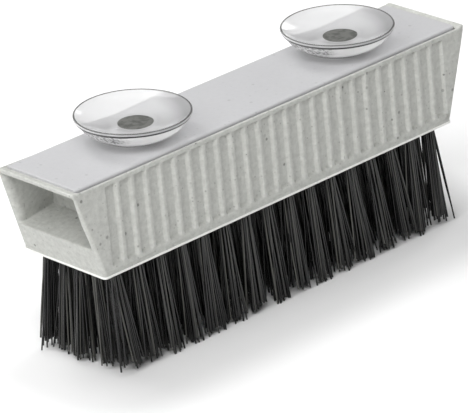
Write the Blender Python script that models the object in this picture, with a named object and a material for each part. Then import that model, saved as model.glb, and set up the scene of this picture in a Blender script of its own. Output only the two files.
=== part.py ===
"""Nail brush with a fluted plastic block and two clear suction cups.

The block is a moulded shell with a lid let into its top and a bristle
base let into its underside. X runs along the brush, Y across it and Z
up. The origin lies on the floor, midway along and across the brush,
which stands on its bristle tips. Every length is in metres.
"""
import math
import random

import bmesh
import bpy
from mathutils import Vector
from mathutils.geometry import delaunay_2d_cdt

# Clearances and cutting
fit_gap = 0.0003
cut_overrun = 0.0008

# Bristles and their tufts
bristle_length = 0.0240
tuft_columns = 16
tufts_across = 5
strands_per_tuft = 6
tuft_radius = 0.00072
strand_radius = 0.00034
strand_tip_radius = 0.00026
tip_fan = 0.0010
tip_stray = 0.00030
lean_along = 0.0014
splay_along = 0.0016
splay_across = 0.0011
trim_unevenness = 0.0016
floor_cut = 0.0005
slice_thickness = 0.0006
slice_margin = 0.00115

# Bristle base, the plate that holds the tufts
base_rim_thickness = 0.0010
base_rim_inset = 0.0004
base_rim_round = 0.0003
base_block_height = 0.0046
base_seat_wall = 0.00115
base_seat_corner = 0.0011
base_field_margin = 0.0013
base_field_corner = 0.0002

# Shell, the fluted outer block
shell_length_top = 0.1200
shell_length_bottom = 0.1066
shell_width_top = 0.0232
shell_width_bottom = 0.0253
shell_height = 0.0200
shell_corner_radius = 0.0012
shell_top_round = 0.0008
shell_bottom_round = 0.0004
side_wall = 0.0018
cavity_corner = 0.0018

# End pockets
pocket_side_wall = 0.0019
pocket_floor_height = 0.0066
pocket_roof_thickness = 0.0012
pocket_floor_depth = 0.0091
pocket_back_wall = 0.0015
pocket_corner_radius = 0.0007
pocket_side_flare = 0.0009
pocket_floor_flare = 0.0010
pocket_roof_flare = 0.0003
pocket_flare_depth = 0.0010

# Flutes along both long faces
flute_count = 25
flute_end_margin = 0.0020
flute_width = 0.0030
flute_depth = 0.00055
flute_bottom_margin = 0.0013
flute_top_margin = 0.0013
flute_end_ramp = 0.0006
flute_overrun = 0.0001
flute_shoulder_share = 0.60
flute_shoulder_depth_share = 0.70

# Lid, the plate that carries the suction cups
lid_thickness = 0.0012
lid_rim_side = 0.0010
lid_rim_end = 0.0013
lid_seat_corner = 0.0008
lid_edge_round = 0.0002

# Suction cups
cup_from_end = 0.0289
cup_height = 0.0061
cup_rim_radius = 0.01266
cup_lip_thickness = 0.0004
cup_lip_land = 0.0005
cup_rim_overhang = 0.00096
cup_bell_height = 0.0032
cup_foot_overlap = 0.0024
cup_foot_height = 0.0006
cup_dish_depth = 0.0023
cup_dish_flat_radius = 0.0038
stem_hole_radius = 0.0038
stem_head_overlap = 0.0009
stem_head_height = 0.0012
stem_tip_clearance = 0.0010
stem_tip_length = 0.0026

# Facets
corner_segments = 4
pocket_segments = 2
round_segments = 3
cup_sides = 32
hole_sides = 32
strand_sides = 3

# Places that follow from the sizes above
base_bottom = bristle_length
shell_bottom = base_bottom + base_rim_thickness + fit_gap
shell_top = shell_bottom + shell_height
lid_underside = shell_top - lid_thickness
block_top = shell_bottom + base_block_height
pocket_floor = shell_bottom + pocket_floor_height
pocket_roof = shell_top - pocket_roof_thickness
cup_x = shell_length_top / 2 - cup_from_end
stem_neck_radius = stem_hole_radius - fit_gap
field_half_length = shell_length_bottom / 2 - base_rim_inset - base_field_margin
field_half_width = shell_width_bottom / 2 - base_rim_inset - base_field_margin
slice_half_width = field_half_width - fit_gap
tuft_pitch_along = 2 * field_half_length / tuft_columns
tuft_pitch_across = 2 * (slice_half_width - slice_margin) / (tufts_across - 1)
flute_pitch = (shell_length_bottom - 2 * flute_end_margin - flute_width) / (flute_count - 1)


def shell_share(height):
    """How far up the shell a height lies, from 0 at its foot to 1 at its top."""
    return (height - shell_bottom) / shell_height


def shell_half_length(height):
    """Half the shell's length at a height, out to its sloping end faces."""
    spread = shell_length_top - shell_length_bottom
    return (shell_length_bottom + spread * shell_share(height)) / 2


def shell_half_width(height):
    """Half the shell's width at a height, out to its long faces."""
    spread = shell_width_top - shell_width_bottom
    return (shell_width_bottom + spread * shell_share(height)) / 2


def pocket_back():
    """How far out from the middle each pocket ends, from its floor's depth behind the mouth."""
    return shell_half_length(pocket_floor) - pocket_floor_depth


def plastic(name, colour, roughness, transmission=0.0):
    """A Principled material without metal."""
    material = bpy.data.materials.new(name)
    material.use_nodes = True
    shader = material.node_tree.nodes["Principled BSDF"]
    shader.inputs["Base Color"].default_value = (*colour, 1.0)
    shader.inputs["Roughness"].default_value = roughness
    shader.inputs["Metallic"].default_value = 0.0
    shader.inputs["Transmission Weight"].default_value = transmission
    material.diffuse_color = (*colour, 1.0)
    return material


def rounded_ring(half_length, half_width, height, radius, segments=corner_segments):
    """Points of a rectangle with round corners, anticlockwise from above."""
    corners = ((1, 1, 0), (-1, 1, 1), (-1, -1, 2), (1, -1, 3))
    ring = []
    for side_x, side_y, quarter in corners:
        centre_x = side_x * (half_length - radius)
        centre_y = side_y * (half_width - radius)
        for step in range(segments + 1):
            angle = (quarter + step / segments) * math.pi / 2
            x = centre_x + radius * math.cos(angle)
            y = centre_y + radius * math.sin(angle)
            ring.append(Vector((x, y, height)))
    return ring


def skin_rings(mesh, rings):
    """Joins rings of equal count, listed from below to above, and caps both ends."""
    loops = [[mesh.verts.new(point) for point in ring] for ring in rings]
    count = len(loops[0])
    for lower, upper in zip(loops, loops[1:]):
        for index in range(count):
            after = (index + 1) % count
            mesh.faces.new((lower[index], lower[after], upper[after], upper[index]))
    mesh.faces.new(list(reversed(loops[0])))
    mesh.faces.new(loops[-1])


def place_mesh(name, mesh, material=None):
    """Turns a bmesh into an object of the assembly."""
    data = bpy.data.meshes.new(name)
    bmesh.ops.recalc_face_normals(mesh, faces=mesh.faces)
    mesh.to_mesh(data)
    mesh.free()
    if material:
        data.materials.append(material)
    thing = bpy.data.objects.new(name, data)
    bpy.context.scene.collection.objects.link(thing)
    return thing


def ring_solid(name, rings, material=None):
    """A closed solid through a stack of rings."""
    mesh = bmesh.new()
    skin_rings(mesh, rings)
    return place_mesh(name, mesh, material)


def cut(target, cutter):
    """Takes a cutter out of a solid and hides the cutter."""
    cutter.hide_render = True
    cutter.display_type = "WIRE"
    cutter.parent = assembly
    boolean = target.modifiers.new(cutter.name, "BOOLEAN")
    boolean.operation = "DIFFERENCE"
    boolean.solver = "EXACT"
    boolean.object = cutter


def smooth(thing, angle_degrees):
    """Shades a round piece smooth up to an edge angle."""
    thing.data.shade_smooth()
    thing.data.set_sharp_from_angle(angle=math.radians(angle_degrees))


def make_shell(material):
    """The outer block: sloping ends, near upright long faces and rounded edges."""
    levels = [(shell_bottom, shell_bottom_round), (shell_bottom + shell_bottom_round, 0.0)]
    for step in range(round_segments + 1):
        angle = step / round_segments * math.pi / 2
        sink = shell_top_round * (1 - math.sin(angle))
        inset = shell_top_round * (1 - math.cos(angle))
        levels.append((shell_top - sink, inset))
    rings = []
    for height, inset in levels:
        half_length = shell_half_length(height) - inset
        half_width = shell_half_width(height) - inset
        rings.append(rounded_ring(half_length, half_width, height, shell_corner_radius - inset))
    shell = ring_solid("body_shell", rings, material)
    cut(shell, lid_seat())
    cut(shell, cavity())
    cut(shell, base_seat())
    for side in (-1, 1):
        cut(shell, pocket(side))
    cut(shell, flutes())
    return shell


def lid_seat():
    """The recess in the shell's top that takes the lid, with a gap below it."""
    half_length = shell_length_top / 2 - lid_rim_end
    half_width = shell_width_top / 2 - lid_rim_side
    heights = (lid_underside - fit_gap, shell_top + cut_overrun)
    rings = []
    for height in heights:
        rings.append(rounded_ring(half_length, half_width, height, lid_seat_corner))
    return ring_solid("lid_seat_cutter", rings)


def cavity():
    """The space between the back walls of the two pockets, open above and below."""
    half_length = pocket_back() - pocket_back_wall
    heights = (block_top, lid_underside)
    rings = []
    for height in heights:
        half_width = shell_half_width(height) - side_wall
        rings.append(rounded_ring(half_length, half_width, height, cavity_corner))
    return ring_solid("cavity_cutter", rings)


def base_seat():
    """The recess in the shell's underside that takes the block of the bristle base."""
    heights = (shell_bottom - cut_overrun, block_top + fit_gap)
    rings = []
    for height in heights:
        half_length = shell_half_length(shell_bottom) - base_seat_wall
        half_width = shell_half_width(height) - base_seat_wall
        rings.append(rounded_ring(half_length, half_width, height, base_seat_corner))
    return ring_solid("base_seat_cutter", rings)


def pocket_ring(side, along, flare_share):
    """A pocket's outline in an upright plane, opened out by a share of its mouth's flare."""
    low = pocket_floor - pocket_floor_flare * flare_share
    high = pocket_roof + pocket_roof_flare * flare_share
    middle = (low + high) / 2
    half_height = (high - low) / 2
    wall = pocket_side_wall - pocket_side_flare * flare_share
    half_width = shell_half_width(middle) - wall
    corner = pocket_corner_radius
    ring = []
    for point in rounded_ring(half_width, half_height, 0.0, corner, pocket_segments):
        height = middle + point.y
        taper = shell_half_width(height) - shell_half_width(middle)
        y = point.x + math.copysign(taper, point.x)
        ring.append(Vector((side * along(height), side * y, height)))
    return ring


def flare_steps():
    """Depth behind the mouth and share of the flare at each ring, the last one outside the mouth."""
    steps = []
    for step in range(round_segments):
        angle = step / round_segments * math.pi / 2
        steps.append((pocket_flare_depth * (1 - math.sin(angle)), 1 - math.cos(angle)))
    last_depth, last_share = steps[-1]
    steps.append((-last_depth, 2 - last_share))
    return steps


def pocket(side):
    """One end pocket: a blind recess whose mouth is rounded outwards at its rim."""
    back = pocket_back()
    rings = [pocket_ring(side, lambda height: back, 0.0)]
    for depth, share in flare_steps():
        rings.append(pocket_ring(side, lambda height: shell_half_length(height) - depth, share))
    name = "pocket_cutter_left" if side < 0 else "pocket_cutter_right"
    return ring_solid(name, rings)


def flute_section(centre_x, side, height, depth):
    """One cross-section of a flute cutter, sunk by a depth into a long face."""
    half = flute_width / 2
    shoulder = half * flute_shoulder_share
    shoulder_depth = depth * flute_shoulder_depth_share if depth > 0 else depth
    slope = (half - shoulder) / (flute_depth * flute_shoulder_depth_share)
    mouth = half + slope * flute_overrun
    outline = (
        (-mouth, -flute_overrun),
        (-shoulder, shoulder_depth),
        (0.0, depth),
        (shoulder, shoulder_depth),
        (mouth, -flute_overrun),
    )
    face = shell_half_width(height)
    return [Vector((centre_x + side * x, side * (face - sink), height)) for x, sink in outline]


def flutes():
    """All the flutes of both long faces, each a shallow channel closed at both ends."""
    low = shell_bottom + flute_bottom_margin
    high = shell_top - flute_top_margin
    ramp_outside = flute_end_ramp * flute_overrun / (2 * flute_depth)
    levels = (
        (low - ramp_outside, -flute_overrun / 2),
        (low + flute_end_ramp, flute_depth),
        (high - flute_end_ramp, flute_depth),
        (high + ramp_outside, -flute_overrun / 2),
    )
    mesh = bmesh.new()
    for side in (-1, 1):
        for index in range(flute_count):
            centre_x = (index - (flute_count - 1) / 2) * flute_pitch
            rings = [flute_section(centre_x, side, height, depth) for height, depth in levels]
            skin_rings(mesh, rings)
    return place_mesh("flute_cutter", mesh)


def make_lid(material):
    """The flat lid, flush in the shell's top, with a hole for each cup's stem."""
    half_length = shell_length_top / 2 - lid_rim_end - fit_gap
    half_width = shell_width_top / 2 - lid_rim_side - fit_gap
    radius = lid_seat_corner - fit_gap
    levels = (
        (lid_underside, 0.0),
        (shell_top - lid_edge_round, 0.0),
        (shell_top, lid_edge_round),
    )
    rings = []
    for height, inset in levels:
        ring = rounded_ring(half_length - inset, half_width - inset, height, radius - inset)
        rings.append(ring)
    lid = ring_solid("top_plate", rings, material)
    for side in (-1, 1):
        heights = (lid_underside - cut_overrun, shell_top + cut_overrun)
        rings = [circle(stem_hole_radius, height, hole_sides) for height in heights]
        name = "stem_hole_cutter_left" if side < 0 else "stem_hole_cutter_right"
        hole = ring_solid(name, rings)
        hole.location.x = side * cup_x
        cut(lid, hole)
    return lid


def make_base(material):
    """The bristle base: a thin rim under the shell, a block inside it, a tufted recess."""
    rim_half_length = shell_length_bottom / 2 - base_rim_inset
    rim_half_width = shell_width_bottom / 2 - base_rim_inset
    rim_radius = shell_corner_radius - base_rim_inset
    rim_top = base_bottom + base_rim_thickness
    recess_top = base_bottom + slice_thickness + fit_gap
    rings = [
        rounded_ring(field_half_length, field_half_width, recess_top, base_field_corner),
        rounded_ring(field_half_length, field_half_width, base_bottom, base_field_corner),
        rounded_ring(rim_half_length - base_rim_round, rim_half_width - base_rim_round,
                     base_bottom, rim_radius - base_rim_round),
        rounded_ring(rim_half_length, rim_half_width, base_bottom + base_rim_round, rim_radius),
        rounded_ring(rim_half_length, rim_half_width, rim_top, rim_radius),
    ]
    block_half_length = shell_half_length(shell_bottom) - base_seat_wall - fit_gap
    block_corner = base_seat_corner - fit_gap
    for height in (rim_top, block_top):
        block_half_width = shell_half_width(height) - base_seat_wall - fit_gap
        rings.append(rounded_ring(block_half_length, block_half_width, height, block_corner))
    return ring_solid("bristle_base", rings, material)


def strand_ring(centre, radius, turn, height):
    """The three corners of a strand at a height, anticlockwise from above."""
    ring = []
    for corner in range(strand_sides):
        angle = turn + corner * 2 * math.pi / strand_sides
        x = centre.x + radius * math.cos(angle)
        y = centre.y + radius * math.sin(angle)
        ring.append(Vector((x, y, height)))
    return ring


def tuft_strands(tuft, dice):
    """Root and tip rings of one tuft's strands, which fan out and never cross."""
    half_field_x = (tuft_columns - 1) / 2 * tuft_pitch_along
    half_field_y = (tufts_across - 1) / 2 * tuft_pitch_across
    lean = Vector((
        lean_along + splay_along * tuft.x / half_field_x + dice.uniform(-tip_stray, tip_stray),
        splay_across * tuft.y / half_field_y + dice.uniform(-tip_stray, tip_stray),
    ))
    first_turn = dice.uniform(0.0, 2 * math.pi)
    strands = []
    for number in range(strands_per_tuft):
        around = first_turn + number * 2 * math.pi / strands_per_tuft
        outward = Vector((math.cos(around), math.sin(around)))
        root_centre = tuft + outward * tuft_radius
        tip_centre = root_centre + lean + outward * tip_fan
        trim = dice.uniform(-floor_cut, trim_unevenness)
        tip_height = max(trim, 0.0)
        turn = dice.uniform(0.0, 2 * math.pi)
        root = strand_ring(root_centre, strand_radius, turn, base_bottom)
        tip = strand_ring(tip_centre, strand_tip_radius, turn, tip_height)
        strands.append((root, tip))
    return strands


def make_bristle_row(number, material, dice):
    """One row of tufts across the brush, fused to its slice of the backing."""
    column_x = (number - (tuft_columns - 1) / 2) * tuft_pitch_along
    half_length = (tuft_pitch_along - fit_gap) / 2
    strands = []
    for across in range(tufts_across):
        tuft_y = (across - (tufts_across - 1) / 2) * tuft_pitch_across
        strands += tuft_strands(Vector((column_x, tuft_y)), dice)

    corners = ((-1, -1), (1, -1), (1, 1), (-1, 1))
    outline = [Vector((column_x + x * half_length, y * slice_half_width)) for x, y in corners]
    flat_points = list(outline)
    edges = [(index, (index + 1) % 4) for index in range(4)]
    for root, _ in strands:
        first = len(flat_points)
        flat_points += [point.to_2d() for point in root]
        edges += [(first + side, first + (side + 1) % strand_sides) for side in range(strand_sides)]
    points, _, faces, _, _, _ = delaunay_2d_cdt(flat_points, edges, [], 0, fit_gap / 1000)

    mesh = bmesh.new()
    underside = [mesh.verts.new((point.x, point.y, base_bottom)) for point in points]
    first_root = len(outline)
    for face in faces:
        if is_root(face, first_root):
            continue
        mesh.faces.new([underside[index] for index in reversed(face)])
    top = [mesh.verts.new((point.x, point.y, base_bottom + slice_thickness)) for point in outline]
    mesh.faces.new(top)
    for index in range(4):
        after = (index + 1) % 4
        mesh.faces.new((underside[index], underside[after], top[after], top[index]))
    for order, (_, tip) in enumerate(strands):
        start = first_root + order * strand_sides
        roots = underside[start:start + strand_sides]
        tips = [mesh.verts.new(point) for point in tip]
        for side in range(strand_sides):
            after = (side + 1) % strand_sides
            mesh.faces.new((tips[side], tips[after], roots[after], roots[side]))
        mesh.faces.new(list(reversed(tips)))
    return place_mesh(f"bristle_row_{number + 1:02d}", mesh, material)


def is_root(face, first_root):
    """Whether a face of the underside is the foot of one strand."""
    strand_numbers = {(index - first_root) // strand_sides for index in face}
    return min(face) >= first_root and len(strand_numbers) == 1


def circle(radius, height, sides):
    """A ring of points round the Z axis."""
    steps = [step * 2 * math.pi / sides for step in range(sides)]
    return [Vector((radius * math.cos(a), radius * math.sin(a), height)) for a in steps]


def make_cup(side, material):
    """A suction cup turned round its stem, which snaps through the lid."""
    head_top = -lid_thickness - fit_gap
    rim = cup_height
    dish = cup_height - cup_dish_depth
    bell_radius = cup_rim_radius - cup_rim_overhang
    foot_radius = stem_hole_radius + cup_foot_overlap
    head_radius = stem_hole_radius + stem_head_overlap
    tip_radius = stem_hole_radius - stem_tip_clearance
    inner_lip = cup_rim_radius - cup_lip_land
    dish_middle = (inner_lip + cup_dish_flat_radius) / 2
    profile = (
        (tip_radius, head_top - stem_head_height - stem_tip_length),
        (head_radius, head_top - stem_head_height),
        (head_radius, head_top),
        (stem_neck_radius, head_top),
        (stem_neck_radius, fit_gap),
        (foot_radius, cup_foot_height),
        ((foot_radius + bell_radius) / 2, (cup_foot_height + cup_bell_height) / 3),
        (bell_radius, cup_bell_height),
        (cup_rim_radius, rim - cup_lip_thickness),
        (cup_rim_radius, rim),
        (inner_lip, rim),
        (dish_middle, dish + cup_dish_depth / 4),
        (cup_dish_flat_radius, dish),
    )
    rings = [circle(radius, height, cup_sides) for radius, height in profile]
    name = "suction_cup_left" if side < 0 else "suction_cup_right"
    cup = ring_solid(name, rings, material)
    cup.location = (side * cup_x, 0.0, shell_top)
    smooth(cup, 40)
    return cup


for old in list(bpy.data.objects):
    bpy.data.objects.remove(old, do_unlink=True)

assembly = bpy.data.objects.new("nail_brush", None)
bpy.context.scene.collection.objects.link(assembly)

moulded_grey = plastic("moulded_grey", (0.58, 0.59, 0.56), 0.55)
clear_vinyl = plastic("clear_vinyl", (0.92, 0.93, 0.94), 0.08, transmission=0.9)
black_filament = plastic("black_filament", (0.012, 0.012, 0.012), 0.45)

pieces = [make_shell(moulded_grey), make_lid(moulded_grey), make_base(moulded_grey)]
pieces += [make_cup(side, clear_vinyl) for side in (-1, 1)]
bristle_dice = random.Random(7)
for row_number in range(tuft_columns):
    pieces.append(make_bristle_row(row_number, black_filament, bristle_dice))
for piece in pieces:
    piece.parent = assembly
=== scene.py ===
"""The finished look of the nail brush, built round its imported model. Every length is in metres."""
import math
import random

import bmesh
import bpy
from mathutils import Matrix, Vector


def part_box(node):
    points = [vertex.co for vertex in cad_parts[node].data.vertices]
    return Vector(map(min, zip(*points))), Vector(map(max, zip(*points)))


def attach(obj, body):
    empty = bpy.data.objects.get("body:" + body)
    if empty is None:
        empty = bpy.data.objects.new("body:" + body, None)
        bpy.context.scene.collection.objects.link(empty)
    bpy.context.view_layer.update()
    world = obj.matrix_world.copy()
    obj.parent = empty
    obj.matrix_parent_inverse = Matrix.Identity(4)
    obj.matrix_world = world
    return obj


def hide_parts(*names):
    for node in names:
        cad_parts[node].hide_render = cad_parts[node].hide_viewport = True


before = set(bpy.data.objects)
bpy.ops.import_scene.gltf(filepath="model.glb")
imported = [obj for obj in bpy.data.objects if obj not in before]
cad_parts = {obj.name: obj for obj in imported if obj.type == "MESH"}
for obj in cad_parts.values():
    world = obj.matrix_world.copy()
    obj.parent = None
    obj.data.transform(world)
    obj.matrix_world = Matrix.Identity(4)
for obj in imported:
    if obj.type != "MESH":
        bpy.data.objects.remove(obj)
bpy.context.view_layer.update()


# Bristle base
# A plate of the same flecked plastic as the shell. Its block plugs into the shell's foot and
# its thin rim shows below the lower seam, with a bead round its foot that is painted pale as a
# highlight along the bottom edge. Its underside is drilled with a blind hole for each tuft of
# bristles.

base_low, base_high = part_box("bristle_base")
shell_low, shell_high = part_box("body_shell")

foot_length = 0.1066
foot_width = 0.0253
top_width = 0.0232
shell_corner_radius = 0.0009

rim_inset = 0.0001
rim_gap = 0.00004
rim_round = 0.00016
rim_round_steps = 5
rim_corner_radius = shell_corner_radius - rim_inset
rim_half_length = foot_length / 2 - rim_inset
rim_half_width = foot_width / 2 - rim_inset
bead_proud = 0.00016
bead_height = 0.00034
bead_reach = 0.97
base_seat_wall = 0.0015
base_seat_corner = 0.0011
base_clearance = 0.0003

tuft_columns = 16
tufts_across = 5
tuft_pitch_along = 0.00645
tuft_pitch_across = 0.00475
tuft_hole_radius = 0.00125
tuft_hole_depth = 0.0030
tuft_hole_sides = 20

moulding_sharp_angle = 32
plastic_colour = (0.496, 0.502, 0.473)
# Pale colour of the bead round the base's foot: a painted highlight along the bottom edge.
painted_highlight_edge_colour = (0.84, 0.84, 0.81)
fleck_colour = (0.10, 0.10, 0.09)
smallest_fleck = 0.45
fleck_core = 0.5
fleck_strengths = (0.25, 0.95)
fine_grain_weight = 0.55
fibre_weight = 0.7
cloud_scale = 900
cloud_detail = 3
cloud_roughness = 0.65
surface_grain_scale = 3600
surface_grain_detail = 2
surface_grain_bump = 0.35
roughness_spread = 0.2


def shell_half_width(height):
    """Half the shell's width at a height, out to its long faces."""
    share = (height - shell_low.z) / (shell_high.z - shell_low.z)
    return (foot_width + (top_width - foot_width) * share) / 2


def shares(steps):
    """Even shares of a whole, from 0 to 1."""
    return [step / steps for step in range(steps + 1)]


def rounded_ring(half_length, half_width, height, radius, steps=8):
    """Points of a rectangle with round corners, anticlockwise from above."""
    points = []
    for quarter, (side_x, side_y) in enumerate(((1, 1), (-1, 1), (-1, -1), (1, -1))):
        centre = Vector((side_x * (half_length - radius), side_y * (half_width - radius), height))
        for share in shares(steps):
            angle = (quarter + share) * math.pi / 2
            points.append(centre + radius * Vector((math.cos(angle), math.sin(angle), 0)))
    return points


def circle_ring(centre, radius, height, sides):
    """Points of a level circle, anticlockwise from above."""
    points = []
    for step in range(sides):
        turn = step * math.tau / sides
        x, y = centre.x + radius * math.cos(turn), centre.y + radius * math.sin(turn)
        points.append(Vector((x, y, height)))
    return points


def skin_rings(mesh, rings):
    """Joins rings of equal count, from below to above, and closes both ends."""
    loops = [[mesh.verts.new(point) for point in ring] for ring in rings]
    count = len(loops[0])
    for lower, upper in zip(loops, loops[1:]):
        for index in range(count):
            after = (index + 1) % count
            mesh.faces.new((lower[index], lower[after], upper[after], upper[index]))
    mesh.faces.new(list(reversed(loops[0])))
    mesh.faces.new(loops[-1])


def make_piece(name, mesh):
    """Turns a bmesh into an object of the scene."""
    data = bpy.data.meshes.new(name)
    bmesh.ops.recalc_face_normals(mesh, faces=mesh.faces)
    mesh.to_mesh(data)
    mesh.free()
    piece = bpy.data.objects.new(name, data)
    bpy.context.scene.collection.objects.link(piece)
    return piece


def ring_piece(name, rings):
    """A closed piece through one stack of rings."""
    mesh = bmesh.new()
    skin_rings(mesh, rings)
    return make_piece(name, mesh)


def cut_out(piece, cutter):
    """Takes a cutter out of a piece for good."""
    boolean = piece.modifiers.new("cut", "BOOLEAN")
    boolean.solver = "EXACT"
    boolean.object = cutter
    evaluated = piece.evaluated_get(bpy.context.evaluated_depsgraph_get())
    whole, piece.data = piece.data, bpy.data.meshes.new_from_object(evaluated)
    piece.data.name = piece.name
    piece.modifiers.clear()
    bpy.data.meshes.remove(whole)
    bpy.data.objects.remove(cutter, do_unlink=True)


def shade_piece(data, sharp_angle):
    """Shades a mesh smooth, but for edges sharper than an angle in degrees."""
    data.shade_smooth()
    data.set_sharp_from_angle(angle=math.radians(sharp_angle))


def finish_moulding(piece, node):
    """Shades a moulding, lets it stand for its node and has it ride on the brush."""
    shade_piece(piece.data, moulding_sharp_angle)
    weighted = piece.modifiers.new("even_normals", "WEIGHTED_NORMAL")
    weighted.keep_sharp = True
    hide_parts(node)
    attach(piece, "brush")


def new_material(name):
    """A material, its node tree and its main shader."""
    material = bpy.data.materials.new(name)
    material.use_nodes = True
    return material, material.node_tree, material.node_tree.nodes["Principled BSDF"]


def set_sockets(node, values):
    """Sets the sockets of a node by name."""
    for name, value in values.items():
        node.inputs[name].default_value = value


def link(tree, source, target):
    """Joins two sockets of a node tree."""
    tree.links.new(source, target)


def math_node(tree, operation, first, second):
    """A maths node on two sockets or numbers, and its result."""
    node = tree.nodes.new("ShaderNodeMath")
    node.operation = operation
    for socket, value in zip(node.inputs, (first, second)):
        if isinstance(value, (int, float)):
            socket.default_value = value
        else:
            link(tree, value, socket)
    return node.outputs[0]


def ramp_node(tree, value, low, high, to_low=0.0, to_high=1.0):
    """A smooth ramp from one range to another, and its result."""
    node = tree.nodes.new("ShaderNodeMapRange")
    node.interpolation_type = "SMOOTHSTEP"
    link(tree, value, node.inputs["Value"])
    bounds = {"From Min": low, "From Max": high, "To Min": to_low, "To Max": to_high}
    for name, bound in bounds.items():
        if isinstance(bound, (int, float)):
            node.inputs[name].default_value = bound
        else:
            link(tree, bound, node.inputs[name])
    return node.outputs["Result"]


def noise_node(tree, coordinates, scale, detail, roughness=0.5):
    """A noise, and its result, which varies about 0.5."""
    node = tree.nodes.new("ShaderNodeTexNoise")
    set_sockets(node, {"Scale": scale, "Detail": detail, "Roughness": roughness})
    link(tree, coordinates, node.inputs["Vector"])
    return node.outputs["Fac"]


def mixed_colour(tree, factor, first, second):
    """A mix of two sockets or colours, and its result."""
    node = tree.nodes.new("ShaderNodeMix")
    node.data_type = "RGBA"
    link(tree, factor, node.inputs["Factor"])
    for name, colour in (("A", first), ("B", second)):
        if isinstance(colour, tuple):
            node.inputs[name].default_value = (*colour, 1.0)
        else:
            link(tree, colour, node.inputs[name])
    return node.outputs["Result"]


def scaled_colour(tree, colour, factor):
    """A socket or colour made brighter or darker by a factor, and its result."""
    node = tree.nodes.new("ShaderNodeVectorMath")
    node.operation = "SCALE"
    if isinstance(colour, tuple):
        node.inputs[0].default_value = colour
    else:
        link(tree, colour, node.inputs[0])
    link(tree, factor, node.inputs["Scale"])
    return node.outputs[0]


def fleck_mask(tree, coordinates, stretch, turn, cell, share, radius_share):
    """Sparse grains, one for some cells of a lattice, longer where the lattice is stretched."""
    place = tree.nodes.new("ShaderNodeMapping")
    set_sockets(place, {"Rotation": turn, "Scale": stretch})
    link(tree, coordinates, place.inputs["Vector"])
    cells = tree.nodes.new("ShaderNodeTexVoronoi")
    cells.inputs["Scale"].default_value = 1 / cell
    link(tree, place.outputs["Vector"], cells.inputs["Vector"])
    dice = tree.nodes.new("ShaderNodeSeparateColor")
    link(tree, cells.outputs["Color"], dice.inputs["Color"])
    present = math_node(tree, "LESS_THAN", dice.outputs["Red"], share)
    smallest = radius_share * smallest_fleck
    size = ramp_node(tree, dice.outputs["Green"], 0.0, 1.0, smallest, radius_share)
    core = math_node(tree, "MULTIPLY", size, fleck_core)
    grain = ramp_node(tree, cells.outputs["Distance"], core, size, 1.0, 0.0)
    strength = ramp_node(tree, dice.outputs["Blue"], 0.0, 1.0, *fleck_strengths)
    present = math_node(tree, "MULTIPLY", present, strength)
    return math_node(tree, "MULTIPLY", grain, present)


def make_fleck_group():
    """Plastic filled with dark grains and short fibres, faintly clouded and finely grained."""
    tree = bpy.data.node_groups.new("flecked_filling", "ShaderNodeTree")
    taken = (
        ("Plastic", "NodeSocketColor", (*plastic_colour, 1.0)),
        ("Fleck", "NodeSocketColor", (*fleck_colour, 1.0)),
        ("Fleck Strength", "NodeSocketFloat", 1.0),
        ("Clouding", "NodeSocketFloat", 0.05),
        ("Roughness", "NodeSocketFloat", 0.5),
    )
    for name, kind, default in taken:
        socket = tree.interface.new_socket(name, in_out="INPUT", socket_type=kind)
        socket.default_value = default
    put_out = (
        ("Colour", "NodeSocketColor"),
        ("Roughness", "NodeSocketFloat"),
        ("Height", "NodeSocketFloat"),
    )
    for name, kind in put_out:
        tree.interface.new_socket(name, in_out="OUTPUT", socket_type=kind)

    given = tree.nodes.new("NodeGroupInput")
    made = tree.nodes.new("NodeGroupOutput")
    coordinates = tree.nodes.new("ShaderNodeTexCoord").outputs["Object"]
    grains = fleck_mask(tree, coordinates, stretch=(1, 1, 1), turn=(0.3, 0.5, 0.2),
                        cell=0.0021, share=0.34, radius_share=0.24)
    fine_grains = fleck_mask(tree, coordinates, stretch=(1, 1, 1), turn=(1.1, 0.2, 0.7),
                             cell=0.0009, share=0.34, radius_share=0.34)
    fibres = fleck_mask(tree, coordinates, stretch=(1, 1, 0.22), turn=(0.7, 0.5, 0.3),
                        cell=0.0015, share=0.18, radius_share=0.13)
    fine_grains = math_node(tree, "MULTIPLY", fine_grains, fine_grain_weight)
    fibres = math_node(tree, "MULTIPLY", fibres, fibre_weight)
    mask = math_node(tree, "MAXIMUM", grains, fine_grains)
    mask = math_node(tree, "MAXIMUM", mask, fibres)
    mask = math_node(tree, "MULTIPLY", mask, given.outputs["Fleck Strength"])

    clouds = noise_node(tree, coordinates, cloud_scale, cloud_detail, cloud_roughness)
    shift = math_node(tree, "MULTIPLY", math_node(tree, "SUBTRACT", clouds, 0.5), 2.0)
    shift = math_node(tree, "MULTIPLY", shift, given.outputs["Clouding"])
    clouded = scaled_colour(tree, given.outputs["Plastic"], math_node(tree, "ADD", shift, 1.0))
    link(tree, mixed_colour(tree, mask, clouded, given.outputs["Fleck"]), made.inputs["Colour"])

    grain = noise_node(tree, coordinates, surface_grain_scale, surface_grain_detail)
    uneven = math_node(tree, "MULTIPLY", math_node(tree, "SUBTRACT", grain, 0.5), roughness_spread)
    link(tree, math_node(tree, "ADD", given.outputs["Roughness"], uneven), made.inputs["Roughness"])
    link(tree, math_node(tree, "ADD", grain, mask), made.inputs["Height"])
    return tree


fleck_group = make_fleck_group()


def flecked_plastic(name, plastic, fleck_strength, clouding, roughness, grain_depth):
    """A moulded plastic filled with flecks."""
    material, tree, shader = new_material(name)
    filling = tree.nodes.new("ShaderNodeGroup")
    filling.node_tree = fleck_group
    set_sockets(filling, {"Plastic": (*plastic, 1.0), "Fleck Strength": fleck_strength,
                          "Clouding": clouding, "Roughness": roughness})
    bump = tree.nodes.new("ShaderNodeBump")
    set_sockets(bump, {"Strength": surface_grain_bump, "Distance": grain_depth})
    link(tree, filling.outputs["Colour"], shader.inputs["Base Color"])
    link(tree, filling.outputs["Roughness"], shader.inputs["Roughness"])
    link(tree, filling.outputs["Height"], bump.inputs["Height"])
    link(tree, bump.outputs["Normal"], shader.inputs["Normal"])
    return material


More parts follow.
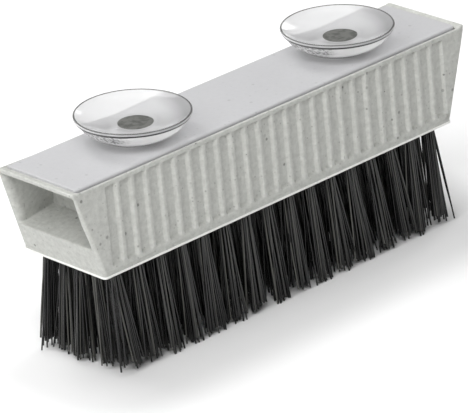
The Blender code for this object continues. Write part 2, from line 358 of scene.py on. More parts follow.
shell_plastic = flecked_plastic("flecked_shell_plastic", plastic_colour, fleck_strength=0.80,
                                clouding=0.30, roughness=0.52, grain_depth=0.00002)
painted_highlight_edge_plastic = flecked_plastic("painted_highlight_edge_plastic", painted_highlight_edge_colour, fleck_strength=0.2,
                                    clouding=0.03, roughness=0.45, grain_depth=0.00001)


def tuft_place(column, across):
    """Where a tuft stands, midway along and across the brush being zero."""
    x = (column - (tuft_columns - 1) / 2) * tuft_pitch_along
    y = (across - (tufts_across - 1) / 2) * tuft_pitch_across
    return Vector((x, y, 0.0))


def rim_ring(height, inset):
    """The rim's outline at a height, drawn in by an inset."""
    corner = rim_corner_radius - inset
    return rounded_ring(rim_half_length - inset, rim_half_width - inset, height, corner)


def make_tuft_plate():
    """The base plate: a beaded rim, a block inside the shell and the drilled tuft holes."""
    rim_top = shell_low.z - rim_gap
    rings = []
    for share in shares(rim_round_steps):
        angle = share * math.pi / 2
        inset = rim_round * (1 - math.sin(angle)) - bead_proud
        rings.append(rim_ring(base_low.z + rim_round * (1 - math.cos(angle)), inset))
    bead_top = base_low.z + bead_height
    bead_end = bead_top + bead_proud
    rings += [rim_ring(bead_top, -bead_proud), rim_ring(bead_end, 0.0), rim_ring(rim_top, 0.0)]
    block_half_length = foot_length / 2 - base_seat_wall - base_clearance
    for height in (rim_top, base_high.z):
        block_half_width = shell_half_width(height) - base_seat_wall - base_clearance
        corner = base_seat_corner - base_clearance
        rings.append(rounded_ring(block_half_length, block_half_width, height, corner))
    plate = ring_piece("tuft_plate", rings)

    drills = bmesh.new()
    heights = (base_low.z - rim_round, base_low.z + tuft_hole_depth)
    for column in range(tuft_columns):
        for across in range(tufts_across):
            place = tuft_place(column, across)
            hole = [circle_ring(place, tuft_hole_radius, z, tuft_hole_sides) for z in heights]
            skin_rings(drills, hole)
    cut_out(plate, make_piece("tuft_drills", drills))
    # The bead round the foot takes the pale plastic, a painted highlight along the bottom edge.
    plate.data.materials.append(shell_plastic)
    plate.data.materials.append(painted_highlight_edge_plastic)
    for face in plate.data.polygons:
        middle = face.center
        outward = max(abs(middle.x) / rim_half_length, abs(middle.y) / rim_half_width)
        if base_low.z < middle.z < bead_end and outward > bead_reach:
            face.material_index = 1
    finish_moulding(plate, "bristle_base")


make_tuft_plate()


# Bristles
# Tufts of black nylon filament, each folded round a staple in its hole and trimmed to one
# length. They splay outwards a little, lean towards the right-hand end and are worn uneven.

strands_per_tuft = 36
strand_radius = (0.00017, 0.00024)
strand_sides = 5
strand_rings = 5
strand_sharp_angle = 75
strand_bow = 0.00040
root_depth = 0.0012
tuft_root_radius = 0.00125
tuft_tip_radius = 0.0024
golden_angle = math.pi * (3 - math.sqrt(5))
turn_stray = 0.2
tuft_stray = 0.00060
strand_stray = 0.00090
crossing_share = 0.26
crossing_stray = 0.0024
lean_along = 0.0015
splay_along = 0.0014
splay_across = 0.0020
tip_half_spread = 0.0125
near_corner_lean = 0.0024
near_corner_pitches = 4
far_corner_lean = 0.0026
far_corner_pitches = 2
tuft_trim = (-0.0006, 0.0013)
strand_trim = (-0.0009, 0.0021)
lowest_tip = 0.00002
loose_strands = {(0, 4): (-0.0032, 0.0004), (15, 0): (0.0052, -0.0012)}
loose_tip_height = 0.0009
bristle_seed = 11
filament_colour = (0.002, 0.002, 0.002)
filament_pale_colour = (0.076, 0.076, 0.068)
filament_pale_range = (0.55, 1.05)
filament_roughness = 0.20


def make_filament():
    """Black nylon with a sheen, paler on some strands than on others."""
    material, tree, shader = new_material("black_filament_nylon")
    shader.inputs["Roughness"].default_value = filament_roughness
    strand = tree.nodes.new("ShaderNodeNewGeometry").outputs["Random Per Island"]
    paleness = ramp_node(tree, strand, *filament_pale_range)
    colour = mixed_colour(tree, paleness, filament_colour, filament_pale_colour)
    link(tree, colour, shader.inputs["Base Color"])
    return material


filament = make_filament()


def add_strand(points, faces, root, tip, bow, radius):
    """One strand: a thin tube with a slight bow and a flat cut tip."""
    first = len(points)
    middle = (root + tip) / 2 + bow
    for share in shares(strand_rings - 1):
        centre = (1 - share) ** 2 * root + 2 * share * (1 - share) * middle + share ** 2 * tip
        for corner in range(strand_sides):
            angle = corner * math.tau / strand_sides
            around = Vector((math.cos(angle), math.sin(angle), 0.0))
            points.append(centre + radius * around)
    for step in range(strand_rings - 1):
        start = first + step * strand_sides
        for corner in range(strand_sides):
            after = (corner + 1) % strand_sides
            near, far = start + corner, start + after
            faces.append((near, near + strand_sides, far + strand_sides, far))
    faces.append(tuple(range(first, first + strand_sides)))
    last = first + (strand_rings - 1) * strand_sides
    faces.append(tuple(reversed(range(last, last + strand_sides))))


def disc_point(dice, radius):
    """A random point of a level disc."""
    angle = dice.uniform(0.0, math.tau)
    reach = radius * math.sqrt(dice.random())
    return Vector((reach * math.cos(angle), reach * math.sin(angle), 0.0))


def tuft_lean(place):
    """How far a tuft's tips lie from its root, by where it stands on the brush."""
    half_field = tuft_place(tuft_columns - 1, tufts_across - 1)
    along = splay_along * place.x / half_field.x
    across = splay_across * place.y / half_field.y
    frontness = max(0.0, -place.y / half_field.y)
    from_near = (half_field.x + place.x) / (near_corner_pitches * tuft_pitch_along)
    from_far = (half_field.x - place.x) / (far_corner_pitches * tuft_pitch_along)
    near_corner = frontness * max(0.0, 1 - from_near)
    far_corner = frontness * max(0.0, 1 - from_far)
    lean = lean_along + near_corner_lean * near_corner - far_corner_lean * far_corner
    return Vector((lean, 0.0, 0.0)) + Vector((along, across, 0.0))


def add_tuft(points, faces, place, dice):
    """All the strands of one tuft, from inside its hole to their tips."""
    lean = tuft_lean(place) + disc_point(dice, tuft_stray)
    trim = dice.uniform(*tuft_trim)
    trim_low, trim_high = strand_trim
    for number in range(strands_per_tuft):
        turn = number * golden_angle + dice.uniform(-turn_stray, turn_stray)
        reach = math.sqrt((number + 0.5) / strands_per_tuft)
        spoke = Vector((math.cos(turn), math.sin(turn), 0.0)) * reach
        stray = crossing_stray if dice.random() < crossing_share else strand_stray
        root = place + spoke * tuft_root_radius + Vector((0, 0, base_low.z + root_depth))
        tip = place + lean + spoke * tuft_tip_radius + disc_point(dice, stray)
        tip.y = max(-tip_half_spread, min(tip_half_spread, tip.y))
        height = trim + trim_low + (trim_high - trim_low) * math.sqrt(dice.random())
        tip.z = max(height, lowest_tip)
        bow = disc_point(dice, strand_bow)
        add_strand(points, faces, root, tip, bow, dice.uniform(*strand_radius))


def add_loose_strand(points, faces, place, reach, dice):
    """A single strand that has sprung out of its tuft."""
    outside = Vector((math.copysign(tuft_root_radius, reach[0]), 0.0, 0.0))
    root = place + outside + Vector((0, 0, base_low.z + root_depth))
    tip = place + outside + Vector((*reach, loose_tip_height))
    add_strand(points, faces, root, tip, disc_point(dice, strand_bow), strand_radius[0])


def make_bristle_row(column, dice):
    """One row of tufts across the brush."""
    points, faces = [], []
    for across in range(tufts_across):
        place = tuft_place(column, across)
        add_tuft(points, faces, place, dice)
        if (column, across) in loose_strands:
            add_loose_strand(points, faces, place, loose_strands[column, across], dice)
    name = f"tuft_row_{column + 1:02d}"
    data = bpy.data.meshes.new(name)
    data.from_pydata(points, [], faces)
    shade_piece(data, strand_sharp_angle)
    data.materials.append(filament)
    row = bpy.data.objects.new(name, data)
    bpy.context.scene.collection.objects.link(row)
    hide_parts(f"bristle_row_{column + 1:02d}")
    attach(row, "brush")


bristle_dice = random.Random(bristle_seed)
for tuft_column in range(tuft_columns):
    make_bristle_row(tuft_column, bristle_dice)


# Shell
# The body of the brush, one moulding of flecked plastic. Shallow flutes run up both long
# faces, a blind pocket opens in each sloping end, and its top rim is stepped to take the lid.

top_length = 0.1200
rim_drop = 0.00012
side_rim_drop = 0.00042
side_rim_end = 0.0016
shell_top_inset = 0.00022
shell_top_fall = 0.0024
shell_top_round = 0.00034
shell_foot_round = 0.00010
foot_round_steps = 4
top_fall_steps = 4
top_round_steps = 6

flute_count = 25
flute_width = 0.0035
flute_depth = 0.0007
flute_end_margin = 0.00175
flute_foot_margin = 0.0008
flute_top_margin = 0.0011
flute_foot_ramp = 0.0008
flute_top_ramp = 0.0004
flute_shift = 0.0007
flute_floor_half = 0.00100
flute_wall = flute_width / 2 - flute_floor_half
flute_pitch = (foot_length - 2 * flute_end_margin - flute_width) / (flute_count - 1)
end_flute = (flute_count - 1) / 2
flute_wall_steps = 6
flute_ramp_steps = 6
flute_length_steps = 4

lid_thickness = 0.0012
lid_rim_side = 0.00062
lid_rim_end = 0.0022
lid_seat_half_length = top_length / 2 - lid_rim_end
lid_seat_half_width = top_width / 2 - lid_rim_side
lid_seat_corner = 0.0008
lid_clearance = 0.0003
side_wall = 0.0018
rim_edge_round = 0.00012

pocket_floor = shell_low.z + 0.0059
pocket_floor_rise = 0.0014
pocket_roof = shell_high.z - lid_thickness
pocket_back = 0.0458
pocket_back_wall = 0.0015
pocket_side_wall = 0.0019
pocket_corner_radius = 0.0004
pocket_corner_steps = 5
pocket_side_steps = 8
pocket_side_flare = 0.00135
pocket_floor_flare = 0.0004
pocket_roof_flare = 0.0003
pocket_taper = 1.5
mouth_depth_at_floor = 0.0006
mouth_depth_at_sides = 0.0022
mouth_depth_rise = 0.0005
mouth_shares = (0.0, 0.2, 0.4, 0.6, 0.75, 0.86, 0.94, 0.985)
mouth_flare_beyond = 1.05
cut_overrun = 0.0008


def shell_half_length(height):
    """Half the shell's length at a height, out to its sloping end faces."""
    share = (height - shell_low.z) / (shell_high.z - shell_low.z)
    return (foot_length + (top_length - foot_length) * share) / 2


def eased(share):
    """A share held between 0 and 1, softened at both ends."""
    share = max(0.0, min(1.0, share))
    return share * share * (3 - 2 * share)


def quarter_round(share):
    """How far a round edge has drawn in at a share of its radius, from 0 to 1."""
    return 1 - math.sqrt(1 - share ** 2)


def flute_section(x):
    """Depth of the flutes at a place along the brush, as a share of their full depth."""
    nearest = max(-end_flute, min(end_flute, round((x - flute_shift) / flute_pitch)))
    offset = abs(x - flute_shift - nearest * flute_pitch)
    return eased((flute_width / 2 - offset) / flute_wall)


def flute_rise(height):
    """How fully the flutes are cut at a height, from 0 beyond their ends to 1."""
    from_foot = (height - shell_low.z - flute_foot_margin) / flute_foot_ramp
    from_top = (shell_high.z - flute_top_margin - height) / flute_top_ramp
    return eased(min(from_foot, from_top))


def flute_places():
    """Places along a long face at which the skin of the shell is divided."""
    wall = [flute_width / 2 - share * flute_wall for share in shares(flute_wall_steps)]
    places = []
    for number in range(flute_count):
        centre = flute_shift + (number - end_flute) * flute_pitch
        places += [centre - offset for offset in wall]
        places += [centre + offset for offset in reversed(wall)]
    return places


def shell_ring(height, inset, places):
    """The shell's outline at a height, with its flutes pressed in."""
    half_length = shell_half_length(height) - inset
    half_width = shell_half_width(height) - inset
    corners = rounded_ring(half_length, half_width, height, shell_corner_radius - inset)
    quarter = len(corners) // 4
    depth = flute_depth * flute_rise(height)
    end = half_length - side_rim_end
    flutes = [(-end, 0.0), *((x, depth * flute_section(x)) for x in places), (end, 0.0)]
    from_top = 1 - (shell_high.z - rim_drop - height) / shell_top_fall
    side_height = height - side_rim_drop * max(0.0, from_top)
    back = [Vector((x, half_width - flute, side_height)) for x, flute in reversed(flutes)]
    front = [Vector((x, -half_width + flute, side_height)) for x, flute in flutes]
    return corners[:quarter] + back + corners[quarter:3 * quarter] + front + corners[3 * quarter:]


def edge_inset(height):
    """How far the shell's outline draws in at a height, at its round foot and its round top."""
    from_foot = max(0.0, 1 - (height - shell_low.z) / shell_foot_round)
    below_top = max(0.0, shell_high.z - rim_drop - height)
    easing = max(0.0, 1 - below_top / shell_top_fall)
    rounding = max(0.0, 1 - below_top / shell_top_round)
    foot_inset = shell_foot_round * quarter_round(from_foot)
    return foot_inset + shell_top_inset * easing ** 2 + shell_top_round * quarter_round(rounding)


def shell_levels():
    """Heights of the shell's rings, close together where its outline bends."""
    foot_start = shell_low.z + flute_foot_margin
    foot_end = foot_start + flute_foot_ramp
    top_end = shell_high.z - flute_top_margin
    top_start = top_end - flute_top_ramp
    rim_top = shell_high.z - rim_drop
    round_start = rim_top - shell_top_round
    foot_arc = [1 - math.cos(share * math.pi / 2) for share in shares(foot_round_steps)]
    top_arc = [1 - math.sin(share * math.pi / 2) for share in shares(top_round_steps)]
    along_flutes = shares(flute_length_steps)[1:-1]
    above_flutes = reversed(shares(top_fall_steps)[1:-1])
    levels = [shell_low.z + shell_foot_round * share for share in foot_arc]
    levels += [foot_start + share * flute_foot_ramp for share in shares(flute_ramp_steps)]
    levels += [foot_end + share * (top_start - foot_end) for share in along_flutes]
    levels += [top_start + share * flute_top_ramp for share in shares(flute_ramp_steps)]
    levels += [round_start - share * (round_start - top_end) for share in above_flutes]
    levels += [rim_top - shell_top_round * share for share in top_arc]
    return levels


def pocket_ring(side, along, flare, floor_height):
    """A pocket's outline on an upright plane, opened out by a share of the mouth's flare."""
    high = pocket_roof + pocket_roof_flare * flare
    middle = (floor_height + high) / 2
    half_width = shell_half_width(middle) - pocket_side_wall + pocket_side_flare * flare
    half_height = (high - floor_height) / 2
    corners = rounded_ring(half_width, half_height, 0.0, pocket_corner_radius, pocket_corner_steps)
    upper, lower = corners[:len(corners) // 2], corners[len(corners) // 2:]
    between = shares(pocket_side_steps)[1:-1]
    far_side = [upper[-1].lerp(lower[0], share) for share in between]
    near_side = [lower[-1].lerp(upper[0], share) for share in between]
    outline = []
    for point in upper + far_side + lower + near_side:
        height = middle + point.y
        taper = shell_half_width(height) - shell_half_width(middle)
        y = point.x + math.copysign(pocket_taper * taper, point.x)
        outline.append(Vector((side * along(height), side * y, height)))
    return outline


def mouth_reach(height, share):
    """How far along a pocket's mouth is at a height, from its throat at 0 to the end face at 1."""
    rise = max(0.0, min(1.0, (height - pocket_floor) / mouth_depth_rise))
    depth = mouth_depth_at_floor + (mouth_depth_at_sides - mouth_depth_at_floor) * rise
    return shell_half_length(height) - depth * (1 - share)


def pocket_cutter(side):
    """A blind pocket with a rising floor, whose mouth opens out deeply but for its floor."""
    rings = [pocket_ring(side, lambda height: pocket_back, 0.0, pocket_floor + pocket_floor_rise)]
    for share in mouth_shares:
        flare = quarter_round(share)
        low = pocket_floor - pocket_floor_flare * flare
        rings.append(pocket_ring(side, lambda height: mouth_reach(height, share), flare, low))
    beyond = 2 - mouth_shares[-1]
    low = pocket_floor - pocket_floor_flare
    for further in (0.0, cut_overrun):
        rings.append(pocket_ring(side, lambda height: mouth_reach(height, beyond) + further,
                                 mouth_flare_beyond, low))
    return ring_piece("pocket_cutter", rings)


def hollow_cutter(name, half_length, wall, corner, heights):
    """A cutter that leaves a wall of one thickness along the shell's long faces."""
    rings = [rounded_ring(half_length, shell_half_width(z) - wall, z, corner) for z in heights]
    return ring_piece(name, rings)


def make_shell():
    """The fluted shell with its pockets, its open middle and the seats of the lid and base."""
    places = flute_places()
    rings = [shell_ring(height, edge_inset(height), places) for height in shell_levels()]
    shell = ring_piece("fluted_shell", rings)

    seat_low = shell_high.z - lid_thickness - lid_clearance
    rim_top = shell_high.z - rim_drop
    seat_levels = (
        (seat_low, 0.0),
        (rim_top - rim_edge_round, 0.0),
        (rim_top - rim_edge_round / 3, rim_edge_round / 3),
        (rim_top + cut_overrun, cut_overrun),
    )
    seat = [rounded_ring(lid_seat_half_length, lid_seat_half_width + widening, height,
                         lid_seat_corner + widening) for height, widening in seat_levels]
    cut_out(shell, ring_piece("lid_seat_cutter", seat))

    base_seat_top = base_high.z + base_clearance
    base_seat_heights = (shell_low.z - cut_overrun, base_seat_top)
    cut_out(shell, hollow_cutter("base_seat_cutter", foot_length / 2 - base_seat_wall,
                                 base_seat_wall, base_seat_corner, base_seat_heights))
    cavity_heights = (base_seat_top - cut_overrun, seat_low + cut_overrun)
    cut_out(shell, hollow_cutter("cavity_cutter", pocket_back - pocket_back_wall, side_wall,
                                 side_wall, cavity_heights))
    for side in (-1, 1):
        cut_out(shell, pocket_cutter(side))
    shell.data.materials.append(shell_plastic)
    finish_moulding(shell, "body_shell")


make_shell()


# Lid
# A flat plate of the same plastic, pressed smooth, let into the shell's top rim so that a
# narrow seam runs round it. A round hole near each end takes the stem of a suction cup.

lid_long_edge_round = 0.0010
lid_end_edge_round = 0.0002
lid_long_edge_fall = 0.00065
lid_end_edge_fall = 0.00009
lid_edge_steps = 8
lid_end_clearance = 0.00005
lid_side_clearance = 0.00033
lid_shift = 0.00027
lid_groove_depth = 0.0010
lid_colour = (0.508, 0.508, 0.518)
stem_hole_radius = 0.0038
stem_hole_sides = 64
cup_low, cup_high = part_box("suction_cup_left")
cup_x = -(cup_low.x + cup_high.x) / 2

lid_plastic = flecked_plastic("flecked_lid_plastic", lid_colour, fleck_strength=0.25,
                              clouding=0.05, roughness=0.46, grain_depth=0.00001)


def make_lid():
    """The lid, with a soft edge and two stem holes."""
    half_length = lid_seat_half_length - lid_end_clearance
    half_width = lid_seat_half_width - lid_side_clearance
    seat_half_width = lid_seat_half_width - lid_end_clearance
    radius = lid_seat_corner - lid_end_clearance
    underside = shell_high.z - lid_thickness
    ledge = shell_high.z - lid_groove_depth
    seated = [rounded_ring(half_length, seat_half_width, z, radius) for z in (underside, ledge)]
    raised = [rounded_ring(half_length, half_width, ledge, radius)]
    for share in shares(lid_edge_steps):
        angle = share * math.pi / 2
        drawn_in = 1 - math.cos(angle)
        ring_half_length = half_length - lid_end_edge_round * drawn_in
        ring_half_width = half_width - lid_long_edge_round * drawn_in
        ring = rounded_ring(ring_half_length, ring_half_width, shell_high.z, radius)
        for point in ring:
            sideways = max(0.0, 1 - (ring_half_width - abs(point.y)) / radius) ** 2
            fall = lid_end_edge_fall + (lid_long_edge_fall - lid_end_edge_fall) * sideways
            point.z -= fall * (1 - math.sin(angle))
        raised.append(ring)
    for ring in raised:
        for point in ring:
            point.y += lid_shift
    lid = ring_piece("smooth_lid", seated + raised)

    hole_heights = (underside - cut_overrun, shell_high.z + cut_overrun)
    for side in (-1, 1):
        centre = Vector((side * cup_x, 0.0, 0.0))
        hole = [circle_ring(centre, stem_hole_radius, z, stem_hole_sides) for z in hole_heights]
        cut_out(lid, ring_piece("stem_hole_cutter", hole))
    lid.data.materials.append(lid_plastic)
    finish_moulding(lid, "top_plate")


make_lid()


# Suction cups
# Two soft vinyl cups, dish up, clear but a little milky. Each is one moulding whose mushroom
# stem snaps through the lid. A dark disc in the middle of the dish is painted shade for the
# stem's hole seen through the clear stem. The cups' dark rim lines, darker foot and darker
# left side are painted shade too.

cup_rim_radius = 0.01266
cup_height = cup_high.z - shell_high.z
cup_sides = 96
cup_sharp_angle = 40
on_axis = 1e-6
dish_floor = cup_height - 0.00245
# A dark disc just above the dish's floor: painted shade for the stem's hole seen through the clear
# stem.
hole_shade_radius = 0.00388
hole_shade_proud = 0.00004
hole_shade_thickness = 0.00035
hole_shade_shift = Vector((0.0002, -0.0006, 0.0))

stem_outline = (
    (0.0000, -0.0052), (0.0022, -0.0052), (0.0029, -0.0050), (0.0046, -0.0027), (0.0046, -0.0017),
    (0.0045, -0.0015), (0.0035, -0.0015), (0.0035, 0.00015), (0.0052, 0.00015),
)
foot_outline = ((0.0052, 0.00015), (0.0057, 0.0003))
low_bell_outline = ((0.0057, 0.0003), (0.0074, 0.0010), (0.0092, 0.0020))
high_bell_outline = (
    (0.0092, 0.0020), (0.0107, 0.0031), (0.0115, 0.0041), (0.0121, 0.0048), (0.0124, 0.00516),
)
undercut_outline = ((0.0124, 0.00516), (0.01244, 0.00534), (0.01264, 0.00560))
band_outline = (
    (0.01264, 0.00560), (cup_rim_radius, 0.00574), (cup_rim_radius, 0.00590),
    (0.01262, cup_height - 0.00012),
)
lip_outline = (
    (0.01262, cup_height - 0.00012), (0.0125, cup_height), (0.01238, cup_height), (0.01222, 0.0060),
)
dish_outline = (
    (0.01222, 0.0060), (0.0120, 0.00588), (0.0105, 0.00522), (0.0085, 0.00458), (0.0060, 0.00403),
    (0.0039, dish_floor), (0.0, dish_floor),
)
low_bell_steps = 4
high_bell_steps = 5
dish_steps = 5

dish_colour = (0.67, 0.67, 0.675)
bell_colour = (0.88, 0.88, 0.88)
# The bell darkens to this colour towards its foot: painted shade for the dark foot line and the
# shadow under it.
bell_painted_foot_shade = (0.06, 0.06, 0.057)
band_colour = (0.68, 0.68, 0.68)
# The lip and the undercut are dark: painted shade for the dark lines seen round the cup's rim.
lip_painted_shade_colour = (0.13, 0.13, 0.127)
undercut_painted_shade_colour = (0.05, 0.05, 0.05)
vinyl_ior = 1.14
vinyl_coat = 0.25
vinyl_coat_roughness = 0.10
vinyl_back_colour = (0.97, 0.97, 0.97, 1.0)
vinyl_shadow_colour = (0.60, 0.60, 0.60, 1.0)
foot_shade_low = 0.0011
foot_shade_high = 0.0029
# Painted shade where a cup faces left: how far it turns left, how dark the dish and the bell get,
# and the spots that mottle the bell's shade.
back_share = 0.6
leftward_range = (0.20, 0.48)
dish_painted_left_shade = 0.414
bell_painted_left_shade = (0.324, 0.684)
painted_shade_spot_scale = 1600
painted_shade_spot_detail = 3
painted_shade_spot_range = (0.42, 0.58)
painted_hole_shade_colour = (0.125, 0.127, 0.118)
painted_hole_shade_dark_colour = (0.072, 0.073, 0.068)
hole_shade_roughness = 0.7
hole_shade_cloud_scale = 700
hole_shade_cloud_detail = 3
hole_shade_cloud_range = (0.35, 0.60)


def smooth_line(points, steps):
    """A smooth line through points, with a number of steps between each two."""
    ends = [2 * Vector(points[0]) - Vector(points[1])] + [Vector(p) for p in points]
    ends.append(2 * ends[-1] - ends[-2])
    line = []
    for before, start, end, after in zip(ends, ends[1:], ends[2:], ends[3:]):
        for step in range(steps):
            t = step / steps
            line.append(0.5 * (
                2 * start + (end - before) * t
                + (2 * before - 5 * start + 4 * end - after) * t ** 2
                + (3 * start - before - 3 * end + after) * t ** 3
            ))
    line.append(ends[-2])
    return line


def lathe(name, strips, centre):
    """A piece turned round an upright axis, from strips that have a material each."""
    mesh = bmesh.new()
    loops = []
    for number, (material, outline) in enumerate(strips):
        for radius, height in outline[min(number, 1):]:
            if radius < on_axis:
                ring = [Vector((centre.x, centre.y, centre.z + height))]
            else:
                ring = circle_ring(centre, radius, centre.z + height, cup_sides)
            loops.append((material, [mesh.verts.new(point) for point in ring]))
    for (_, lower), (material, upper) in zip(loops, loops[1:]):
        for index in range(cup_sides):
            after = (index + 1) % cup_sides
            corners = (lower[index % len(lower)], lower[after % len(lower)],
                       upper[after % len(upper)], upper[index % len(upper)])
            mesh.faces.new(list(dict.fromkeys(corners))).material_index = material
    return make_piece(name, mesh)


def make_vinyl(name, colour, clearness, roughness):
    """Soft plastic, more or less clear, seen from outside only, that lets some light through."""
    material, tree, shader = new_material(name)
    set_sockets(shader, {"Base Color": (*colour, 1.0), "Transmission Weight": clearness,
                         "Roughness": roughness, "IOR": vinyl_ior, "Coat Weight": vinyl_coat,
                         "Coat Roughness": vinyl_coat_roughness})
    inside = tree.nodes.new("ShaderNodeBsdfTransparent")
    inside.inputs["Color"].default_value = vinyl_back_colour
    in_shadow = tree.nodes.new("ShaderNodeBsdfTransparent")
    in_shadow.inputs["Color"].default_value = vinyl_shadow_colour
    seen = tree.nodes.new("ShaderNodeMixShader")
    from_behind = tree.nodes.new("ShaderNodeNewGeometry").outputs["Backfacing"]
    link(tree, from_behind, seen.inputs["Fac"])
    link(tree, shader.outputs["BSDF"], seen.inputs[1])
    link(tree, inside.outputs["BSDF"], seen.inputs[2])
    either = tree.nodes.new("ShaderNodeMixShader")
    casts_shadow = tree.nodes.new("ShaderNodeLightPath").outputs["Is Shadow Ray"]
    link(tree, casts_shadow, either.inputs["Fac"])
    link(tree, seen.outputs["Shader"], either.inputs[1])
    link(tree, in_shadow.outputs["BSDF"], either.inputs[2])
    link(tree, either.outputs["Shader"], tree.nodes["Material Output"].inputs["Surface"])
    return material


def paint_left_shade(tree, colour, strength):
    """Paints shade into a vinyl's colour: darker, by a strength, where the cup faces left."""
    facing = tree.nodes.new("ShaderNodeSeparateXYZ")
    normal = tree.nodes.new("ShaderNodeTexCoord").outputs["Normal"]
    link(tree, normal, facing.inputs["Vector"])
    backward = math_node(tree, "MULTIPLY", facing.outputs["Y"], back_share)
    turned = math_node(tree, "SUBTRACT", backward, facing.outputs["X"])
    shade = ramp_node(tree, turned, *leftward_range, 0.0, strength)
    shaded = scaled_colour(tree, colour, math_node(tree, "SUBTRACT", 1.0, shade))
    link(tree, shaded, tree.nodes["Principled BSDF"].inputs["Base Color"])


def make_dish_vinyl():
    """The clearest part of a cup, with shade painted evenly where the dish faces left."""
    material = make_vinyl("clear_vinyl_dish", dish_colour, clearness=0.42, roughness=0.10)
    paint_left_shade(material.node_tree, dish_colour, dish_painted_left_shade)
    return material


def make_bell_vinyl():
    """The outside of a cup, with painted shade towards its foot and mottled painted shade where it
    faces left.
    """
    material = make_vinyl("clear_vinyl_bell", bell_colour, clearness=0.30, roughness=0.20)
    tree = material.node_tree
    coordinates = tree.nodes.new("ShaderNodeTexCoord").outputs["Object"]
    place = tree.nodes.new("ShaderNodeSeparateXYZ")
    link(tree, coordinates, place.inputs["Vector"])
    # Painted shade: the bell darkens towards its foot.
    foot_start, foot_end = shell_high.z + foot_shade_low, shell_high.z + foot_shade_high
    rise = ramp_node(tree, place.outputs["Z"], foot_start, foot_end)
    noise = noise_node(tree, coordinates, painted_shade_spot_scale, painted_shade_spot_detail)
    strength = ramp_node(tree, noise, *painted_shade_spot_range, *bell_painted_left_shade)
    paint_left_shade(tree, mixed_colour(tree, rise, bell_painted_foot_shade, bell_colour), strength)
    return material


def make_painted_hole_shade_material():
    """Painted shade for the stem's hole seen through the dish, clouded and darker in places."""
    material, tree, shader = new_material("painted_stem_hole_shade")
    shader.inputs["Roughness"].default_value = hole_shade_roughness
    coordinates = tree.nodes.new("ShaderNodeTexCoord").outputs["Object"]
    noise = noise_node(tree, coordinates, hole_shade_cloud_scale, hole_shade_cloud_detail)
    clouds = ramp_node(tree, noise, *hole_shade_cloud_range)
    colour = mixed_colour(tree, clouds, painted_hole_shade_dark_colour, painted_hole_shade_colour)
    link(tree, colour, shader.inputs["Base Color"])
    return material


vinyl_materials = (
    make_dish_vinyl(),
    make_bell_vinyl(),
    make_vinyl("clear_vinyl_band", band_colour, clearness=0.50, roughness=0.20),
    # The lip and undercut rings are dark, painted shade for the rim's dark lines.
    make_vinyl("clear_vinyl_lip_painted_shade", lip_painted_shade_colour, clearness=0.20, roughness=0.20),
    make_vinyl("clear_vinyl_undercut_painted_shade", undercut_painted_shade_colour, clearness=0.20, roughness=0.30),
)
painted_hole_shade_material = make_painted_hole_shade_material()


def make_cup(side, word):
    """One suction cup and a disc of painted shade for its stem's hole."""
    dish, bell, band, lip, undercut = range(len(vinyl_materials))
    centre = Vector((side * cup_x, 0.0, shell_high.z))
    strips = (
        (dish, stem_outline),
        (bell, foot_outline),
        (bell, smooth_line(low_bell_outline, low_bell_steps)),
        (bell, smooth_line(high_bell_outline, high_bell_steps)),
        (undercut, undercut_outline),
        (band, band_outline),
        (lip, lip_outline),
        (dish, smooth_line(dish_outline, dish_steps)),
    )
    cup = lathe(f"clear_cup_{word}", strips, centre)
    shade_piece(cup.data, cup_sharp_angle)
    for material in vinyl_materials:
        cup.data.materials.append(material)
    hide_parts(f"suction_cup_{word}")
    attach(cup, f"{word}_cup")

    # The disc of painted shade for the stem's hole, just above the dish's floor.
    shade_disc_top = dish_floor + hole_shade_proud
    shade_disc_bottom = shade_disc_top - hole_shade_thickness
    shade_disc_outline = (
        (0.0, shade_disc_bottom), (hole_shade_radius, shade_disc_bottom), (hole_shade_radius, shade_disc_top), (0.0, shade_disc_top),
    )
    core = lathe(f"painted_hole_shade_{word}", ((0, shade_disc_outline),), centre + hole_shade_shift)
    core.data.materials.append(painted_hole_shade_material)
    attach(core, f"{word}_cup")


make_cup(-1, "left")
make_cup(1, "right")


# Studio
# A matt white floor that glows, a painted light, everywhere but close to the brush, where it
# leaves a painted shadow, and a faint white sky, with softboxes above, behind and to the left.
# The camera stands far off with a long lens, where the photo was taken from.

camera_azimuth = math.radians(-43.582)
camera_elevation = math.radians(23.874)
camera_roll = math.radians(-3.353)
camera_distance = 0.86259
camera_aim = Vector((-0.003537, -0.000193, 0.019874))
camera_lens = 305.35
camera_sensor = 36.0
camera_clip_start = 0.05
camera_clip_end = 50.0

floor_half_size = 6.0
floor_colour = (0.79, 0.79, 0.79, 1.0)
floor_roughness = 0.9
floor_specular = 0.1
# Painted light: how brightly the floor glows, and from how far off the brush it starts and is full.
floor_painted_glow = 0.19
floor_painted_glow_start = 0.009
floor_painted_glow_full = 0.024

sky_strength = 0.01
sky_heights = (0.2, 0.9)
sky_shades = (0.19, 1.0)

softbox_aim = Vector((0, 0, 0.03))
# The name, place, side length and power of each.
softboxes = (
    ("softbox_above", (0.1, 0.1, 1.0), 0.8, 3.4),
    ("softbox_back_above", (-0.1, 0.6, 0.9), 0.5, 5.0),
    ("softbox_back_right", (0.85, 0.30, 0.35), 0.3, 1.5),
    ("softbox_left", (-0.75, -0.15, 0.62), 0.5, 5.6),
    ("softbox_front_left", (-0.45, -0.5, 0.8), 0.4, 4.0),
)


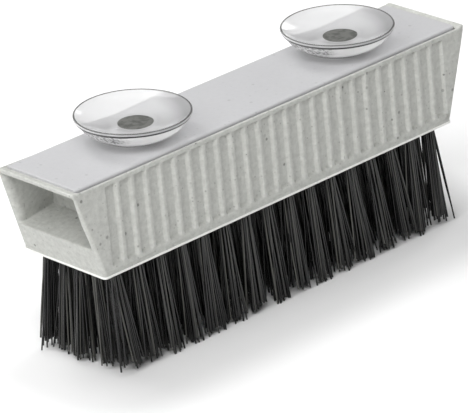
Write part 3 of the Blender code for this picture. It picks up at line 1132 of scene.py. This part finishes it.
def make_camera():
    """The camera at the photo's place, level with its slightly tilted frame."""
    back = Vector((
        math.sin(camera_azimuth) * math.cos(camera_elevation),
        -math.cos(camera_azimuth) * math.cos(camera_elevation),
        math.sin(camera_elevation),
    ))
    right = Vector((math.cos(camera_azimuth), math.sin(camera_azimuth), 0.0))
    up = back.cross(right)
    turned_right = math.cos(camera_roll) * right + math.sin(camera_roll) * up
    turned_up = math.cos(camera_roll) * up - math.sin(camera_roll) * right
    data = bpy.data.cameras.new("studio_camera")
    data.sensor_width = camera_sensor
    data.lens = camera_lens
    data.clip_start = camera_clip_start
    data.clip_end = camera_clip_end
    camera = bpy.data.objects.new("studio_camera", data)
    axes = Matrix((turned_right, turned_up, back)).transposed()
    camera.matrix_world = Matrix.Translation(camera_aim + back * camera_distance) @ axes.to_4x4()
    bpy.context.scene.collection.objects.link(camera)
    bpy.context.scene.camera = camera


def distance_from_brush(tree):
    """How far a place on the floor is from the oblong below the brush, as a socket."""
    place = tree.nodes.new("ShaderNodeSeparateXYZ")
    link(tree, tree.nodes.new("ShaderNodeTexCoord").outputs["Object"], place.inputs["Vector"])
    squared = 0.0
    for axis, half_size in (("X", foot_length / 2), ("Y", foot_width / 2)):
        from_middle = math_node(tree, "ABSOLUTE", place.outputs[axis], 0.0)
        beside = math_node(tree, "SUBTRACT", from_middle, half_size)
        beside = math_node(tree, "MAXIMUM", beside, 0.0)
        squared = math_node(tree, "ADD", math_node(tree, "MULTIPLY", beside, beside), squared)
    return math_node(tree, "SQRT", squared, 0.0)


def make_floor():
    """A matt white floor that glows everywhere but close to the brush: painted light that leaves a
    painted shadow round the brush.
    """
    mesh = bmesh.new()
    corners = ((-1, -1), (1, -1), (1, 1), (-1, 1))
    points = [Vector((x * floor_half_size, y * floor_half_size, 0.0)) for x, y in corners]
    mesh.faces.new([mesh.verts.new(point) for point in points])
    floor = make_piece("studio_floor", mesh)
    material, tree, shader = new_material("studio_floor_paint")
    set_sockets(shader, {"Base Color": floor_colour, "Roughness": floor_roughness,
                         "Specular IOR Level": floor_specular, "Emission Strength": 1.0})
    away = distance_from_brush(tree)
    # Painted light: the floor glows more the further it lies from the brush, leaving a painted
    # shadow close by.
    painted_glow = ramp_node(tree, away, floor_painted_glow_start, floor_painted_glow_full, 0.0, floor_painted_glow)
    link(tree, painted_glow, shader.inputs["Emission Color"])
    floor.data.materials.append(material)


def add_softbox(name, place, size, power):
    """A square area light that faces the brush."""
    data = bpy.data.lights.new(name, "AREA")
    data.shape = "SQUARE"
    data.size = size
    data.energy = power
    light = bpy.data.objects.new(name, data)
    light.location = place
    direction = softbox_aim - Vector(place)
    light.rotation_euler = direction.to_track_quat("-Z", "Y").to_euler()
    bpy.context.scene.collection.objects.link(light)


def make_world():
    """White light from overhead that falls off towards the horizon."""
    world = bpy.data.worlds.new("studio_world")
    world.use_nodes = True
    tree = world.node_tree
    direction = tree.nodes.new("ShaderNodeSeparateXYZ")
    coordinates = tree.nodes.new("ShaderNodeTexCoord").outputs["Generated"]
    link(tree, coordinates, direction.inputs["Vector"])
    background = tree.nodes["Background"]
    brightness = ramp_node(tree, direction.outputs["Z"], *sky_heights, *sky_shades)
    link(tree, brightness, background.inputs["Color"])
    background.inputs["Strength"].default_value = sky_strength
    bpy.context.scene.world = world


make_camera()
make_floor()
make_world()
for softbox in softboxes:
    add_softbox(*softbox)
bpy.context.scene.view_settings.view_transform = "Standard"
